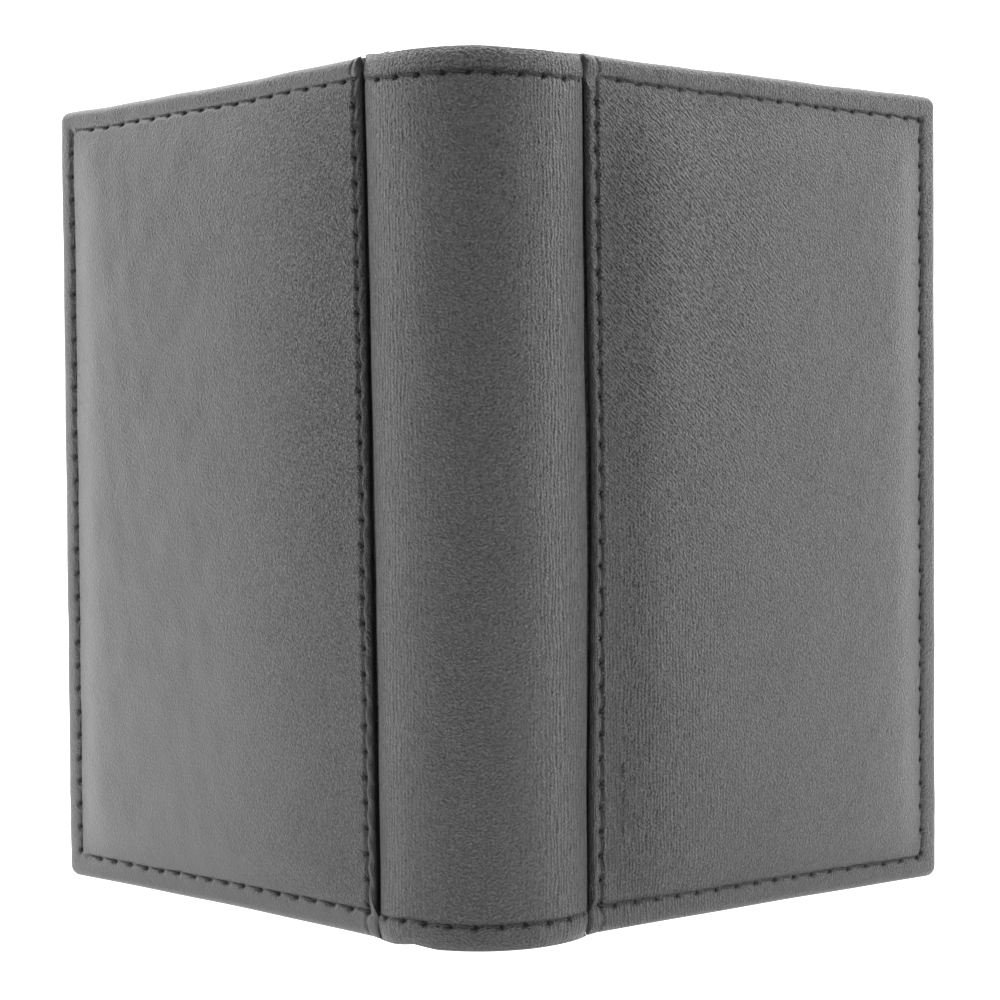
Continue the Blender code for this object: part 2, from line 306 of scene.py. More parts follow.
def sheet_faces(rows, columns, flip=False):
    """Faces of a closed sheet: two grids whose points follow each other, and the rim between them."""
    count = rows * columns
    rim = border(rows, columns)
    return [
        grid_faces(rows, columns, flip=flip), grid_faces(rows, columns, start=count, flip=not flip),
        strip_faces(rim, rim + count)[:, ::1 if flip else -1],
    ]


def add_object(name, data):
    obj = bpy.data.objects.new(name, data)
    bpy.context.scene.collection.objects.link(obj)
    return obj


def make_piece(name, points, faces, materials, fields, extra_faces=(), sharp=45.0):
    """A mesh object. fields are values for each point that the materials read by name."""
    mesh = bpy.data.meshes.new(name)
    all_faces = [face.tolist() for group in faces for face in group]
    mesh.from_pydata(points.tolist(), [], all_faces + [list(face) for face in extra_faces])
    for key, values in fields.items():
        kind = "FLOAT_VECTOR" if values.ndim == 2 else "FLOAT"
        attribute = mesh.attributes.new(key, kind, "POINT")
        attribute.data.foreach_set("vector" if values.ndim == 2 else "value", values.astype(np.float32).ravel())
    for material in materials:
        mesh.materials.append(material)
    mesh.shade_smooth()
    mesh.set_sharp_from_angle(angle=math.radians(sharp))
    mesh.validate()
    return add_object(name, mesh)


WAVES = 14
WAVES_REACH = 1.6


def waviness(u, v, wavelength, seed):
    """Soft unevenness between about -1 and 1, from waves of mixed directions."""
    local = np.random.default_rng(seed)
    total = np.zeros(np.broadcast(u, v).shape)
    for _ in range(WAVES):
        turn = local.uniform(0, math.pi)
        length = wavelength * local.uniform(0.6, 1.8)
        phase = local.uniform(0, 2 * math.pi)
        total += np.sin(2 * math.pi * (u * math.cos(turn) + v * math.sin(turn)) / length + phase)
    return total / math.sqrt(WAVES / 2) / WAVES_REACH


# Materials

class Shader:
    """Builds a material's nodes. Each helper adds a node and returns the output that the next one reads."""

    def __init__(self, name, colour, roughness):
        self.material = bpy.data.materials.new(name)
        self.material.use_nodes = True
        self.tree = self.material.node_tree
        self.surface = self.tree.nodes["Principled BSDF"]
        self.surface.inputs["Base Color"].default_value = (*colour, 1.0)
        self.surface.inputs["Roughness"].default_value = roughness

    def node(self, kind, inputs=None, **settings):
        node = self.tree.nodes.new(kind)
        for key, value in settings.items():
            setattr(node, key, value)
        for key, value in (inputs or {}).items():
            self.feed(node.inputs[key], value)
        return node

    def feed(self, socket, value):
        """Links another node's output to a socket, or sets the socket's own value."""
        if isinstance(value, bpy.types.NodeSocket):
            self.tree.links.new(value, socket)
        else:
            socket.default_value = value

    def set(self, key, value):
        self.feed(self.surface.inputs[key], value)

    def field(self, name, output="Fac"):
        return self.node("ShaderNodeAttribute", attribute_name=name).outputs[output]

    def math(self, operation, first, second, clamp=False):
        return self.node("ShaderNodeMath", {0: first, 1: second}, operation=operation, use_clamp=clamp).outputs[0]

    def vector(self, operation, first, second):
        key = "Scale" if operation == "SCALE" else 1
        return self.node("ShaderNodeVectorMath", {0: first, key: second}, operation=operation).outputs[0]

    def stretch(self, place, scale, turn=0.0):
        inputs = {"Vector": place, "Scale": scale, "Rotation": (0.0, 0.0, turn)}
        return self.node("ShaderNodeMapping", inputs, vector_type="TEXTURE" if turn else "POINT").outputs[0]

    def noise(self, place, scale, detail=2.0, roughness=0.5):
        inputs = {"Vector": place, "Scale": scale, "Detail": detail, "Roughness": roughness}
        return self.node("ShaderNodeTexNoise", inputs)

    def voronoi(self, place, scale):
        """Distance to the nearest cell centre."""
        return self.node("ShaderNodeTexVoronoi", {"Vector": place, "Scale": scale}, feature="F1").outputs["Distance"]

    def bands(self, place, scale, distortion, direction="X", detail=2.0, detail_scale=1.0):
        inputs = {
            "Vector": place, "Scale": scale, "Distortion": distortion, "Detail": detail, "Detail Scale": detail_scale,
        }
        return self.node("ShaderNodeTexWave", inputs, wave_type="BANDS", bands_direction=direction).outputs["Fac"]

    def rise(self, value, low, high, to_low=0.0, to_high=1.0):
        inputs = {"Value": value, "From Min": low, "From Max": high, "To Min": to_low, "To Max": to_high}
        return self.node("ShaderNodeMapRange", inputs, interpolation_type="SMOOTHSTEP").outputs["Result"]

    def mix(self, share, first, second):
        inputs = {"Factor": share, "A": first, "B": second}
        return self.node("ShaderNodeMix", inputs, data_type="FLOAT").outputs["Result"]

    def colour_mix(self, share, first, second):
        return self.node("ShaderNodeMix", {0: share, 6: first, 7: second}, data_type="RGBA").outputs[2]

    def bump(self, height, distance):
        inputs = {"Height": height, "Distance": distance, "Strength": 1.0}
        return self.node("ShaderNodeBump", inputs).outputs["Normal"]

    def grade(self, place, axis, low, high, to_low, to_high):
        """A value that rises along one axis of a place."""
        split = self.node("ShaderNodeSeparateXYZ", {"Vector": place})
        return self.rise(split.outputs[axis], low, high, to_low, to_high)


def leather_material(name, dark=(0.003, 0.003, 0.003), light=(0.046, 0.0455, 0.045)):
    """Black grained leather. The fields say where the grain is pebbled, streaked, wrinkled or worn smooth, and where
    stitch pits are painted dark as shade.

    hide is each point's place on the flat hide, so the grain goes round the edges with the leather. It runs to both
    sides of 0, and drives the colour, the gloss and the bump together: the colour is painted darker in its hollows as
    shade and lighter on its tops as light, and the gloss is lower in its hollows.
    """
    s = Shader(name, light, 0.45)
    place = s.vector("SCALE", s.field("hide", "Vector"), 1000.0)
    warp = s.noise(place, 0.9, 2.0).outputs["Color"]
    warped = s.vector("ADD", place, s.vector("SCALE", warp, 0.6))

    domes = s.rise(s.voronoi(warped, 2.9), 0.08, 0.7, 1.0, 0.0)
    grit = s.rise(s.noise(warped, 3.6, 2.0, 0.6).outputs["Fac"], 0.36, 0.64)
    pebbled = s.math("SUBTRACT", s.mix(0.45, domes, grit), 0.5)

    near = s.vector("ADD", place, s.vector("SCALE", warp, 0.3))
    upright = s.stretch(near, (1.0, 0.24, 1.0))
    lines = s.bands(upright, 0.62, 6.0, detail_scale=1.3)
    broken = s.rise(s.noise(s.stretch(near, (2.4, 0.6, 1.0)), 1.0, 1.0).outputs["Fac"], 0.38, 0.62)
    streaked = s.math("SUBTRACT", s.mix(0.3, s.mix(0.4, lines, broken), grit), 0.5)

    slanted = s.stretch(s.stretch(near, (1.0, 1.0, 1.0), math.radians(-42)), (0.34, 1.0, 1.0))
    folds = s.bands(slanted, 0.6, 5.0, "Y", detail_scale=1.3)
    short = s.rise(s.noise(s.stretch(slanted, (3.2, 4.6, 1.0)), 1.0, 1.0).outputs["Fac"], 0.36, 0.64)
    wrinkled = s.math("SUBTRACT", s.mix(0.3, s.mix(0.68, folds, short), grit), 0.5)

    grain = s.math("MULTIPLY", pebbled, s.field("pebble"))
    grain = s.math("ADD", grain, s.math("MULTIPLY", streaked, s.field("streak")))
    grain = s.math("ADD", grain, s.math("MULTIPLY", wrinkled, s.field("wrinkle")))

    tone = s.math("SUBTRACT", s.noise(place, 0.07, 3.0).outputs["Fac"], 0.5)
    # Painted shade and light: the colour follows the grain, darker in its hollows and lighter on its tops
    shade = s.math("ADD", s.math("MULTIPLY", grain, 1.1), s.math("MULTIPLY", tone, 0.16))
    shade = s.math("ADD", shade, 0.45, clamp=True)
    body = s.colour_mix(shade, (*dark, 1.0), (*light, 1.0))
    # Painted shade: needle holes and stitch pits are painted near black, darker as they are deeper, and made rougher
    s.set("Base Color", s.colour_mix(s.field("pit"), body, (0.003, 0.003, 0.003, 1.0)))
    polish = s.mix(s.field("smooth"), 0.40, 0.36)
    worn = s.math("SUBTRACT", polish, s.math("MULTIPLY", grain, 0.12))
    s.set("Roughness", s.mix(s.field("pit"), worn, 0.9))
    s.set("Normal", s.bump(grain, 0.00055))
    s.set("Specular IOR Level", s.rise(grain, -0.45, 0.3, 0.4, 1.0))
    return s.material


def thread_material(name):
    """Twisted polyester thread. strand runs along each stitch and turns round it."""
    s = Shader(name, (0.016, 0.016, 0.016), 0.7)
    strand = s.field("strand", "Vector")
    ply = s.bands(strand, 1.0, 0.3, detail=1.0)
    fibre = s.noise(strand, 9.0, 3.0).outputs["Fac"]
    s.set("Base Color", s.colour_mix(ply, (0.008, 0.008, 0.008, 1.0), (0.0272, 0.0272, 0.0272, 1.0)))
    s.set("Normal", s.bump(s.math("ADD", ply, s.math("MULTIPLY", fibre, 0.4)), 0.00005))
    s.set("Sheen Weight", 0.1)
    return s.material


def lining_material(name):
    """A plain-woven black lining cloth."""
    s = Shader(name, (0.02, 0.0195, 0.0195), 0.85)
    place = s.vector("SCALE", s.field("hide", "Vector"), 1000.0)
    bend = s.vector("ADD", place, s.vector("SCALE", s.noise(place, 0.4, 1.0).outputs["Color"], 0.25))
    warp = s.bands(bend, 0.85, 0.15)
    weft = s.bands(bend, 0.85, 0.15, "Y")
    over = s.math("MULTIPLY", warp, s.math("SUBTRACT", 1.15, weft))
    under = s.math("MULTIPLY", weft, s.math("SUBTRACT", 1.15, warp))
    cross = s.math("MAXIMUM", over, under)
    slub = s.noise(place, 0.6, 3.0).outputs["Fac"]
    shade = s.mix(0.3, cross, slub)
    s.set("Base Color", s.colour_mix(shade, (0.008, 0.008, 0.008, 1.0), (0.045, 0.044, 0.043, 1.0)))
    s.set("Roughness", s.mix(slub, 0.75, 0.92))
    s.set("Sheen Weight", 0.25)
    s.set("Normal", s.bump(cross, 0.00005))
    return s.material


def board_material(name):
    """Grey board with pressed fibres and darker flecks."""
    s = Shader(name, (0.3, 0.28, 0.26), 0.95)
    place = s.node("ShaderNodeTexCoord").outputs["Object"]
    fibre = s.noise(s.stretch(place, (3000.0, 3000.0, 600.0)), 1.0, 5.0, 0.65).outputs["Fac"]
    fleck = s.rise(s.voronoi(place, 1400.0), 0.0, 0.16)
    shade = s.math("MULTIPLY", fibre, s.rise(fleck, 0.0, 1.0, 0.6, 1.0))
    s.set("Base Color", s.colour_mix(shade, (0.16, 0.15, 0.14, 1.0), (0.42, 0.39, 0.36, 1.0)))
    s.set("Roughness", s.mix(fibre, 0.88, 0.98))
    s.set("Normal", s.bump(fibre, 0.00005))
    return s.material


def foam_material(name):
    """Pale open-cell foam, seen only under the leather."""
    s = Shader(name, (0.55, 0.55, 0.53), 0.98)
    place = s.vector("SCALE", s.field("hide", "Vector"), 1000.0)
    cells = s.voronoi(place, 2.2)
    s.set("Base Color", s.colour_mix(cells, (0.3, 0.3, 0.29, 1.0), (0.62, 0.61, 0.58, 1.0)))
    s.set("Normal", s.bump(cells, 0.0002))
    return s.material


SKIN = leather_material("pebbled_black_leather")
SLOT_SKIN = leather_material("slot_leather", (0.005, 0.005, 0.005), (0.050, 0.049, 0.048))
# Painted light: a much lighter leather for the fold strip's face that shows in the grooves, lifting their shade
GROOVE_PAINTED_LIGHT = leather_material("groove_painted_light_leather", (0.03, 0.03, 0.03), (0.24, 0.235, 0.23))
THREAD = thread_material("black_thread")
CLOTH = lining_material("woven_lining")
GREY_BOARD = board_material("grey_board")
FOAM = foam_material("padding_foam")



# Stitches

class Line:
    """A sewn line on a surface, in its own coordinates: the holes, and each stitch's start, end and way.

    slant sets the stitches askew, and offset is where the first hole lies along the line.
    """

    def __init__(self, points, slant, pitch=STITCH_PITCH, offset=0.0):
        points = np.asarray(points, float)
        run = run_along(points)
        ends = np.arange(offset, run[-1], pitch)
        if run[-1] - ends[-1] > 0.5 * pitch:
            ends = np.append(ends, run[-1])
        spots = np.stack([np.interp(ends, run, points[:, axis]) for axis in (0, 1)], -1)
        spots[1:-1] += rng.normal(0.0, STITCH_STRAY, spots[1:-1].shape)
        way = np.diff(spots, axis=0)
        way /= np.linalg.norm(way, axis=1)[:, None]
        across = np.stack([-way[:, 1], way[:, 0]], -1)
        self.way = way
        self.start = spots[:-1] + way * STITCH_START + across * slant
        self.end = spots[1:] - way * STITCH_END - across * slant
        self.points = spots


def dimples(u, z, spots, ways, depth, along, across):
    """How far needle holes sink a surface. Each is along by across in size, turned to its stitch's way."""
    sink = np.zeros(u.shape)
    reach = 2.6 * max(along, across)
    for spot, way in zip(spots, ways):
        near = (np.abs(u - spot[0]) < reach) & (np.abs(z - spot[1]) < reach)
        du, dz = u[near] - spot[0], z[near] - spot[1]
        run = (du * way[0] + dz * way[1]) / along
        side = (dz * way[0] - du * way[1]) / across
        sink[near] = np.maximum(sink[near], depth * np.exp(-(run**2) - side**2))
    return sink


def sewn_pits(u, z, lines):
    """How far a sewn line's holes and threads press a surface in."""
    sink = np.zeros(u.shape)
    for line in lines:
        for spots, pit in zip((line.end, line.start, (line.start + line.end) / 2), STITCH_PITS):
            sink = np.maximum(sink, dimples(u, z, spots, line.way, *pit))
    return sink


def distance_to_path(u, z, points):
    """Distance from each place to a path of straight pieces."""
    best = np.full(u.shape, 1.0)
    for (u0, z0), (u1, z1) in zip(points, points[1:]):
        du, dz = u1 - u0, z1 - z0
        share = np.clip(((u - u0) * du + (z - z0) * dz) / (du * du + dz * dz), 0.0, 1.0)
        best = np.minimum(best, np.hypot(u - u0 - share * du, z - z0 - share * dz))
    return best


def make_threads(name, body, lines, place, height):
    """Short lengths of thread, each arched over the leather and sunk in at its ends.

    place turns (u, out, z) into the frame, and height gives the surface's out.
    """
    points, strands, faces = [], [], []
    turn = np.linspace(0, 2 * math.pi, THREAD_SIDES, endpoint=False)
    share = np.linspace(0.0, 1.0, THREAD_STEPS)
    lift = THREAD_RADIUS * (0.1 - 1.9 * np.abs(2 * share - 1) ** 4)
    slim = (THREAD_RADIUS * np.where(share * (1 - share) > 0.001, 1.0, 0.5))[:, None]
    along = share[:, None] * np.ones(THREAD_SIDES) * 9.0 + turn / (2 * math.pi) * 2.0
    strand = np.stack([along, turn + 0 * along, 0 * along], -1).reshape(-1, 3)
    numbers = np.arange(THREAD_STEPS * THREAD_SIDES).reshape(THREAD_STEPS, THREAD_SIDES)
    for line in lines:
        for start, end in zip(line.start, line.end):
            path = start + (end - start) * share[:, None]
            out = height(path[:, 0], path[:, 1]) + lift
            way = (end - start) / np.linalg.norm(end - start)
            u = path[:, :1] - way[1] * np.cos(turn) * slim
            z = path[:, 1:] + way[0] * np.cos(turn) * slim
            index = numbers + len(points) * numbers.size
            points.append(place(u, out[:, None] + np.sin(turn) * slim, z).reshape(-1, 3))
            strands.append(strand)
            for low, high in zip(index, index[1:]):
                faces.append(strip_faces(low, high))
            faces.append(index[0][::-1][None, :])
            faces.append(index[-1][None, :])
    obj = make_piece(name, np.concatenate(points), faces, [THREAD], {"strand": np.concatenate(strands)}, sharp=80)
    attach(obj, body)


# Covers

def rounded(share_u, share_z, inset, fold, free_radius, fold_radius):
    """Places on a rectangle with rounded corners, from shares of its width and height. fold is its edge in u."""
    right = COVER_WIDTH - inset
    u = fold + (right - fold) * share_u
    z = inset + (HEIGHT - 2 * inset) * share_z
    u, z, fold = (array.copy() for array in np.broadcast_arrays(u, z, fold))
    for at_free in (True, False):
        radius = free_radius if at_free else fold_radius
        du = u - (right - radius) if at_free else (fold + radius) - u
        for at_top in (True, False):
            dz = z - (HEIGHT - inset - radius) if at_top else (inset + radius) - z
            scale = np.maximum(du, dz) / np.maximum(np.hypot(du, dz), 1e-9)
            pull = np.where((du > 0) & (dz > 0), scale, 1.0) - 1
            u += du * pull * (1 if at_free else -1)
            z += dz * pull * (1 if at_top else -1)
    return u, z


def pad_depths(cover, u, z):
    """Distances inside the padding's fold, free, foot and head edges, each shortened where its shoulder is gentle."""
    return (
        (u - cover.pad_fold(z)) * PAD_FOLD_SLOPE[cover.side],
        (COVER_WIDTH - PAD_INSET - PAD_FREE_SHIFT - u) * PAD_FREE_SLOPE[cover.side],
        (z - PAD_INSET) * PAD_FOOT_SLOPE,
        (HEIGHT - PAD_INSET - z) * PAD_HEAD_SLOPE,
    )


def crown(cover, u, z):
    """How far the padding lifts the outer face: a soft shoulder along each edge, under a low crown."""
    shoulder, swell = 1.0, 1.0
    for depth in pad_depths(cover, u, z):
        depth = np.maximum(depth + PAD_SOFT_START, 0.0)
        shoulder = shoulder * (1 - np.exp(-((depth / PAD_SHOULDER_RUN) ** 1.5)))
        swell = swell * (1 - (1 - np.clip(depth / PAD_CROWN_RUN, 0.0, 1.0)) ** 3)
    return (PAD_SHOULDER + PAD_CROWN * swell) * shoulder


def outer_lines(cover):
    """The stitched lines of a cover's outer face: head, foot and free edge in one, and the fold edge."""
    left = cover.side < 0
    high_fold, high_free, low_fold, low_free = (107.35, 107.0, 3.4, 3.3) if left else (107.25, 106.6, 3.5, 3.2)
    head_start, free_inset = (0.45, 3.1) if left else (-0.1, 3.2)
    head_offset, foot_offset, fold_pitch = (1.3, 1.3, 3.22) if left else (1.4, 0.4, 3.04)
    free = COVER_WIDTH - free_inset * MM
    head = [(head_start * MM, high_fold * MM), (free, high_free * MM)]
    side = [(free, high_free * MM), (free, low_free * MM)]
    foot = [(-0.3 * MM, low_fold * MM), (free, low_free * MM)]
    if left:
        head, foot = head[::-1], foot[::-1]
    fold = [(cover.seam(level), level) for level in np.linspace(HEIGHT - 3.1 * MM, 3.6 * MM, 12)]
    slant = 0.16 * MM * cover.side
    perimeter = [
        Line(head, slant, offset=head_offset * MM), Line(side, slant), Line(foot, slant, offset=foot_offset * MM),
    ]
    return perimeter, Line(fold, 0.12 * MM * cover.side, pitch=fold_pitch * MM)


def ear_lines(cover):
    """The outlines of the leather folded over at both ends of the fold edge, and a crease in the right cover."""
    seam, nose = cover.seam(3.2 * MM), cover.nose(0.0)
    foot = [(seam, 3.2 * MM), (seam + 0.30 * MM, 2.1 * MM), (seam + 0.15 * MM, 1.0 * MM), (nose + 0.5 * MM, 0.3 * MM)]
    seam, nose = cover.seam(HEIGHT), cover.nose(HEIGHT)
    head = [
        (seam, HEIGHT - 3.2 * MM), (seam + 0.35 * MM, HEIGHT - 2.0 * MM),
        (seam + 0.2 * MM, HEIGHT - 0.9 * MM), (nose + 0.5 * MM, HEIGHT - 0.2 * MM),
    ]
    creases = [foot, head]
    if cover.side > 0:
        creases.append([(4.3 * MM, 21.0 * MM), (4.5 * MM, 17.0 * MM), (4.2 * MM, 12.5 * MM)])
    return creases


def cover_relief(cover, u, z, perimeter, fold):
    """How far a cover's outer face lies from the mid plane."""
    out = EDGE_RADIUS + crown(cover, u, z)
    for line in perimeter:
        away = distance_to_path(u, z, line.points[[0, -1]])
        out -= SEAM_SINK * bell(away, SEAM_SPREAD)
    out -= sewn_pits(u, z, perimeter)
    away = u - cover.seam(z)
    sewn = 1 - in_hem(z)
    out -= (0.05 + 0.15 * sewn) * MM * bell(away, 0.22 * MM)
    out -= sewn_pits(u, z, [fold])
    beat = np.cos(2 * math.pi * (z - fold.points[0][1]) / np.diff(fold.points[:, 1]).mean())
    out -= PUCKER * beat * bell(away, PUCKER_SPREAD) * sewn
    for ear in ear_lines(cover):
        out -= EAR_SINK * bell(distance_to_path(u, z, ear), EAR_SPREAD)
    hem = np.minimum(np.minimum(z, HEIGHT - z), COVER_WIDTH - u)
    out += COVER_HEM_SWELL * hem_swell(hem)
    out += 0.05 * MM * waviness(u, z, 14 * MM, seed=3 + cover.side)
    out += 0.02 * MM * waviness(u, z, 4 * MM, seed=5 + cover.side)
    return out


def cover_fields(cover, u, z, hide_u, hide_z, pits=0.0):
    """Where the leather is pebbled, streaked, wrinkled or smooth, and how dark its stitch pits are painted as shade."""
    near_fold = (1 - smoothstep(u, 4 * MM, 30 * MM)) * (0.4 + 0.6 * smoothstep(z, 12 * MM, 75 * MM))
    edge = np.minimum(np.minimum(z, HEIGHT - z), COVER_WIDTH - u)
    on_pad = smoothstep(edge, 2.6 * MM, 5.0 * MM)
    off_roll = 0.6 + 0.4 * smoothstep(u - cover.seam(z), -0.1 * MM, 0.4 * MM)
    if cover.side < 0:
        pebble = 0.09 + 0.60 * near_fold * on_pad
        streak = 0 * u
        wrinkle = 0.06 * near_fold
        smooth = 1 - near_fold
    else:
        upper = smoothstep(z, 30 * MM, 85 * MM)
        pebble = 0.17 + 0.15 * on_pad * (1 - 0.9 * smoothstep(u, 25 * MM, 55 * MM))
        streak = 0.05 + 0.35 * (1 - upper) * (1 - smoothstep(u, 5 * MM, 30 * MM))
        wrinkle = 0.03 + 0.75 * upper * (1 - smoothstep(u, 12 * MM, 42 * MM)) * on_pad
        smooth = 0.35 + 0 * u
    return {
        "hide": np.stack([hide_u, hide_z, 0 * hide_u + (0.2 if cover.side > 0 else 0.1)], -1).reshape(-1, 3),
        "pebble": (pebble * off_roll).ravel(), "streak": streak.ravel(), "wrinkle": (wrinkle * off_roll).ravel(),
        "smooth": smooth.ravel(), "pit": np.clip(pits / PIT_SHADE_DEPTH + 0 * u, 0.0, 1.0).ravel(),
    }


def plain_fields(u, z, shift=0.0, pebble=0.26, streak=0.0):
    """The same leather all over. shift picks another part of the hide."""
    ones = np.ones(u.size)
    return {
        "hide": np.stack([u.ravel(), z.ravel(), shift * ones], -1), "pebble": pebble * ones, "streak": streak * ones,
        "wrinkle": 0.0 * ones, "smooth": 0.2 * ones, "pit": 0.0 * ones,
    }


def merge_fields(parts):
    return {key: np.concatenate([part[key] for part in parts]) for key in parts[0]}


FOLD_ROLL = 0.6 * MM
FOLD_ROLL_TURN = math.radians(125)
FOLD_ROLL_HASTE = 1.6
FOLD_TUCK = 0.9 * MM
PAN_INSET = 0.72 * MM
PAN_FOLD_INSET = 1.2 * MM
RIM_STEPS = 12
SKIN_BACK = EDGE_RADIUS - LEATHER


def make_cover_skin(cover):
    """The padded outer leather in one closed form, turned in round its edges over the board."""
    across = spaced(
        (0.5, 2.8, 0.13), (2.8, 5.5, 0.3), (5.5, 55.6, 0.55), (55.6, 56.6, 0.3), (56.6, 58.2, 0.13), (58.2, 59.3, 0.27)
    )
    upward = spaced(
        (1.2, 2.6, 0.27), (2.6, 4.3, 0.13), (4.3, 6.0, 0.22), (6.0, 104.0, 0.22),
        (104.0, 105.8, 0.22), (105.8, 108.1, 0.13), (108.1, 108.8, 0.27),
    )
    columns, rows = len(across), len(upward)
    share_u, share_z = np.meshgrid(
        (across - across[0]) / (across[-1] - across[0]), (upward - upward[0]) / (upward[-1] - upward[0])
    )
    perimeter, fold = outer_lines(cover)
    fold_edge = cover.nose(share_z * HEIGHT) + FOLD_ROLL
    u, z = rounded(share_u, share_z, EDGE_RADIUS, fold_edge, FREE_CORNER_RADIUS - EDGE_RADIUS, 0.05 * MM)
    relief = cover_relief(cover, u, z, perimeter, fold)
    points = [cover.place(u, relief, z).reshape(-1, 3)]
    fields = [cover_fields(cover, u, z, u, z, sewn_pits(u, z, [*perimeter, fold]))]
    faces = [grid_faces(rows, columns, flip=cover.side < 0)]
    loop = border(rows, columns)
    loops = [loop]
    rim_u, rim_z = share_u.ravel()[loop], share_z.ravel()[loop]
    edge_relief = relief.ravel()[loop] - EDGE_RADIUS
    to_fold = u.ravel()[loop] - cover.nose(z.ravel()[loop])
    at_fold = 1 - smoothstep(to_fold, 0.7 * MM, 2.6 * MM)
    nose = cover.nose(rim_z * HEIGHT)
    total = points[0].shape[0]

    def add_loop(inset, fold_at, out, flat_inset, free_radius, fold_radius):
        nonlocal total
        loop_u, loop_z = rounded(rim_u, rim_z, inset, fold_at, free_radius, fold_radius)
        hide_u, hide_z = rounded(rim_u, rim_z, flat_inset, nose + FOLD_ROLL - EDGE_RADIUS + flat_inset, MM, MM)
        points.append(cover.place(loop_u, out, loop_z))
        fields.append(cover_fields(cover, loop_u, loop_z, hide_u, hide_z))
        numbers = total + np.arange(len(loop))
        total += len(loop)
        faces.append(strip_faces(loops[-1], numbers)[:, ::-1 if cover.side > 0 else 1])
        loops.append(numbers)

    for step in range(1, RIM_STEPS + 1):
        turn = math.pi * step / RIM_STEPS
        inset = EDGE_RADIUS * (1 - math.sin(turn))
        fade = max(math.cos(turn), 0.0)
        out_free = EDGE_RADIUS * math.cos(turn) + edge_relief * fade
        roll = FOLD_ROLL_TURN * min(step / RIM_STEPS * FOLD_ROLL_HASTE, 1.0)
        tuck = smoothstep(step / RIM_STEPS, 0.6, 1.0)
        fold_at = nose + FOLD_ROLL * (1 - math.sin(roll)) + FOLD_TUCK * tuck
        out_fold = EDGE_RADIUS - FOLD_ROLL * (1 - math.cos(roll)) + edge_relief * fade
        out_fold = out_fold * (1 - tuck) - EDGE_RADIUS * tuck
        out = out_free + (out_fold - out_free) * at_fold
        corner = FREE_CORNER_RADIUS - inset
        add_loop(inset, fold_at, out, EDGE_RADIUS - EDGE_RADIUS * turn, corner, 0.05 * MM + (EDGE_RADIUS - inset) * 0.1)

    pan = (
        (TURN_IN, TURN_IN, -EDGE_RADIUS), (TURN_IN, TURN_IN, -SKIN_BACK),
        (PAN_INSET, PAN_FOLD_INSET, -SKIN_BACK), (PAN_INSET, PAN_FOLD_INSET, SKIN_BACK - 0.05 * MM),
    )
    for inset, fold_inset, out in pan:
        add_loop(inset, nose + fold_inset, out + 0 * nose, -2.6 * MM - inset, 0.4 * MM, 0.3 * MM)
    cap = loops[-1] if cover.side < 0 else loops[-1][::-1]
    obj = make_piece(
        f"{cover.body}_skin", np.concatenate(points), faces, [SKIN, FOAM], merge_fields(fields), [cap.tolist()]
    )
    obj.data.polygons[-1].material_index = 1
    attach(obj, cover.body)
    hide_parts(f"{cover.body}_leather", f"{cover.body}_foam")

    def ground(line_u, line_z):
        return EDGE_RADIUS + crown(cover, line_u, line_z) - SEAM_SINK - THREAD_SINK

    make_threads(f"{cover.body}_edge_stitches", cover.body, perimeter, cover.place, ground)
    make_threads(f"{cover.body}_fold_stitches", cover.body, [fold], cover.place, ground)


# Spine

def spine_profile():
    """(z, out, arc) up the spine's outer side, from the foot's turned-in end to the head's."""
    rim = [math.pi * step / RIM_STEPS for step in range(RIM_STEPS + 1)]
    foot = [(z, -EDGE_RADIUS) for z in np.linspace(TURN_IN, EDGE_RADIUS, 8)[:-1]]
    foot += [(EDGE_RADIUS * (1 - math.sin(turn)), -EDGE_RADIUS * math.cos(turn)) for turn in rim]
    levels = spaced(
        (1.5, 2.6, 0.27), (2.6, 4.2, 0.12), (4.2, 6.0, 0.3), (6.0, 104.0, 0.8),
        (104.0, 105.8, 0.3), (105.8, 107.7, 0.12), (107.7, 108.5, 0.27),
    )
    middle = [(z, EDGE_RADIUS) for z in levels]
    head = [(HEIGHT - z, out) for z, out in reversed(foot)]
    profile = np.array([*foot, *middle, *head])
    return profile[:, 0], profile[:, 1], run_along(profile)


def spine_lines():
    """Stitches across the spine's head and foot, in arc length from the middle and z."""
    rows = []
    for level, left, right in ((106.75 * MM, -60.1, 57.0), (3.35 * MM, -60.0, 58.0)):
        ends = [(math.radians(angle) * SPINE_RADIUS, level) for angle in (left, right)]
        rows.append(Line(ends, 0.13 * MM, pitch=SPINE_STITCH_PITCH))
    return rows


def spine_surface(arc, z, lines):
    """How far the spine's outer face lies from the mid surface."""
    angle = arc / SPINE_RADIUS
    to_end = np.minimum(spine_end(1, z) - angle, angle - spine_end(-1, z)) * SPINE_RADIUS
    rise = 1 - (1 - np.clip(to_end / SPINE_EDGE_RUN, 0.0, 1.0)) ** 2.2
    least = SPINE_EDGE_THICKNESS / (2 * EDGE_RADIUS)
    share = least + (1 - least) * rise
    out = 2 * EDGE_RADIUS * share - EDGE_RADIUS
    for line in lines:
        away = np.abs(z - line.points[0][1])
        out -= SEAM_SINK * bell(away, SEAM_SPREAD)
    out -= sewn_pits(arc, z, lines)
    hem = np.minimum(z, HEIGHT - z)
    out += SPINE_HEM_SWELL * hem_swell(hem)
    out -= SPINE_HEM_DROP * (1 - smoothstep(hem, 0.0, 3.2 * MM))
    out += 0.045 * MM * waviness(arc, z * 0.4, 7 * MM, seed=11)
    return out


SPINE_COLUMN = 0.2 * MM


